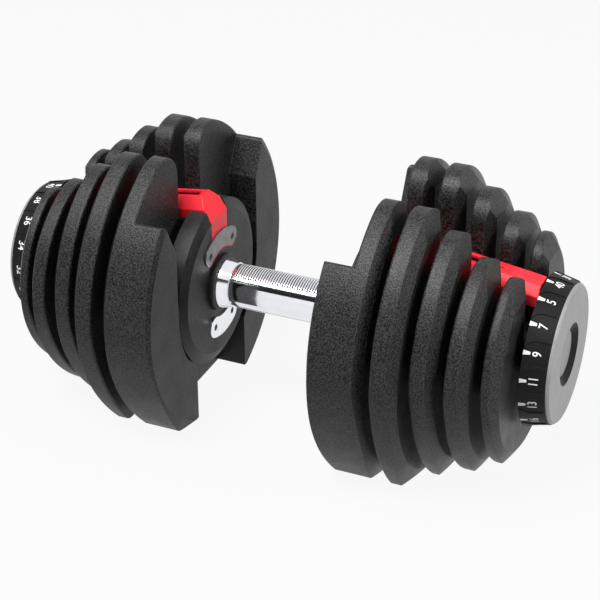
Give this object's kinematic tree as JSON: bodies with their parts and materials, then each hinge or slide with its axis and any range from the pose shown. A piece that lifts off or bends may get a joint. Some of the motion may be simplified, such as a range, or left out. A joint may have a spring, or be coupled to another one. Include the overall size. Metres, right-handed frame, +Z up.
{
  "type": "adjustable dumbbell",
  "caption": "Free-standing adjustable dumbbell with a chrome grip, slotted weight plates on both heads, a bridge over the selectors and a turning number dial on each end.",
  "frame": {"origin": "on the floor, under the middle of the grip", "axes": "+X along the grip towards the right-hand head, +Z up"},
  "size_m": [0.44, 0.2398, 0.216],
  "materials": {
    "plate_iron": "fine-textured black coating",
    "black_plastic": "fine moulded grain",
    "grey_plastic": "plain moulded",
    "red_plastic": "satin moulded",
    "silver_plastic": "satin light grey",
    "label_grey": "satin, bare",
    "chrome": "polished, knurled on the grip",
    "steel": "machined"
  },
  "bodies": {
    "weights": {"left_plate_1": "plate_iron", "left_plate_2": "plate_iron", "left_plate_3": "plate_iron", "left_plate_4": "plate_iron", "left_plate_5": "plate_iron", "right_plate_1": "plate_iron", "right_plate_2": "plate_iron", "right_plate_3": "plate_iron", "right_plate_4": "plate_iron", "right_plate_5": "plate_iron"},
    "handle": {"bridge_screws": "steel", "centre_shaft": "steel", "chrome_screws": "steel", "cover_screws": "steel", "detent_screws": "steel", "end_screws": "steel", "end_washers": "steel", "grip": "chrome", "grub_screws": "steel", "label_screws": "steel", "left_bridge": "red_plastic", "left_chrome_plate": "chrome", "left_collar": "chrome", "left_collar_ring": "black_plastic", "left_detent_leaf": "steel", "left_end_support": "grey_plastic", "left_inner_cover": "black_plastic", "left_inner_disc": "black_plastic", "left_label_plate": "label_grey", "right_bridge": "red_plastic", "right_chrome_plate": "chrome", "right_collar": "chrome", "right_collar_ring": "black_plastic", "right_detent_leaf": "steel", "right_end_support": "grey_plastic", "right_inner_cover": "black_plastic", "right_inner_disc": "black_plastic", "right_label_plate": "label_grey"},
    "left_dial_set": {"left_dial": "black_plastic", "left_dial_face": "silver_plastic", "left_hub_cap": "silver_plastic", "left_selector_tube": "steel", "left_index_wheel": "steel", "left_selector_disc_1": "grey_plastic", "left_selector_disc_2": "grey_plastic", "left_selector_disc_3": "grey_plastic", "left_selector_disc_4": "grey_plastic", "left_selector_disc_5": "grey_plastic"},
    "right_dial_set": {"right_dial": "black_plastic", "right_dial_face": "silver_plastic", "right_hub_cap": "silver_plastic", "right_selector_tube": "steel", "right_index_wheel": "steel", "right_selector_disc_1": "grey_plastic", "right_selector_disc_2": "grey_plastic", "right_selector_disc_3": "grey_plastic", "right_selector_disc_4": "grey_plastic", "right_selector_disc_5": "grey_plastic"}
  },
  "joints": [
    {"name": "handle_lift", "type": "slide", "parent": "weights", "child": "handle", "axis": [0, 0, 1], "range_m": [0, 0.19]},
    {"name": "right_dial_turn", "type": "hinge", "parent": "handle", "child": "right_dial_set", "pos_m": [0.2, 0, 0.101], "axis": [1, 0, 0], "continuous": true},
    {"name": "left_dial_turn", "type": "hinge", "parent": "handle", "child": "left_dial_set", "pos_m": [-0.2, 0, 0.101], "axis": [-1, 0, 0], "continuous": true}
  ]
}
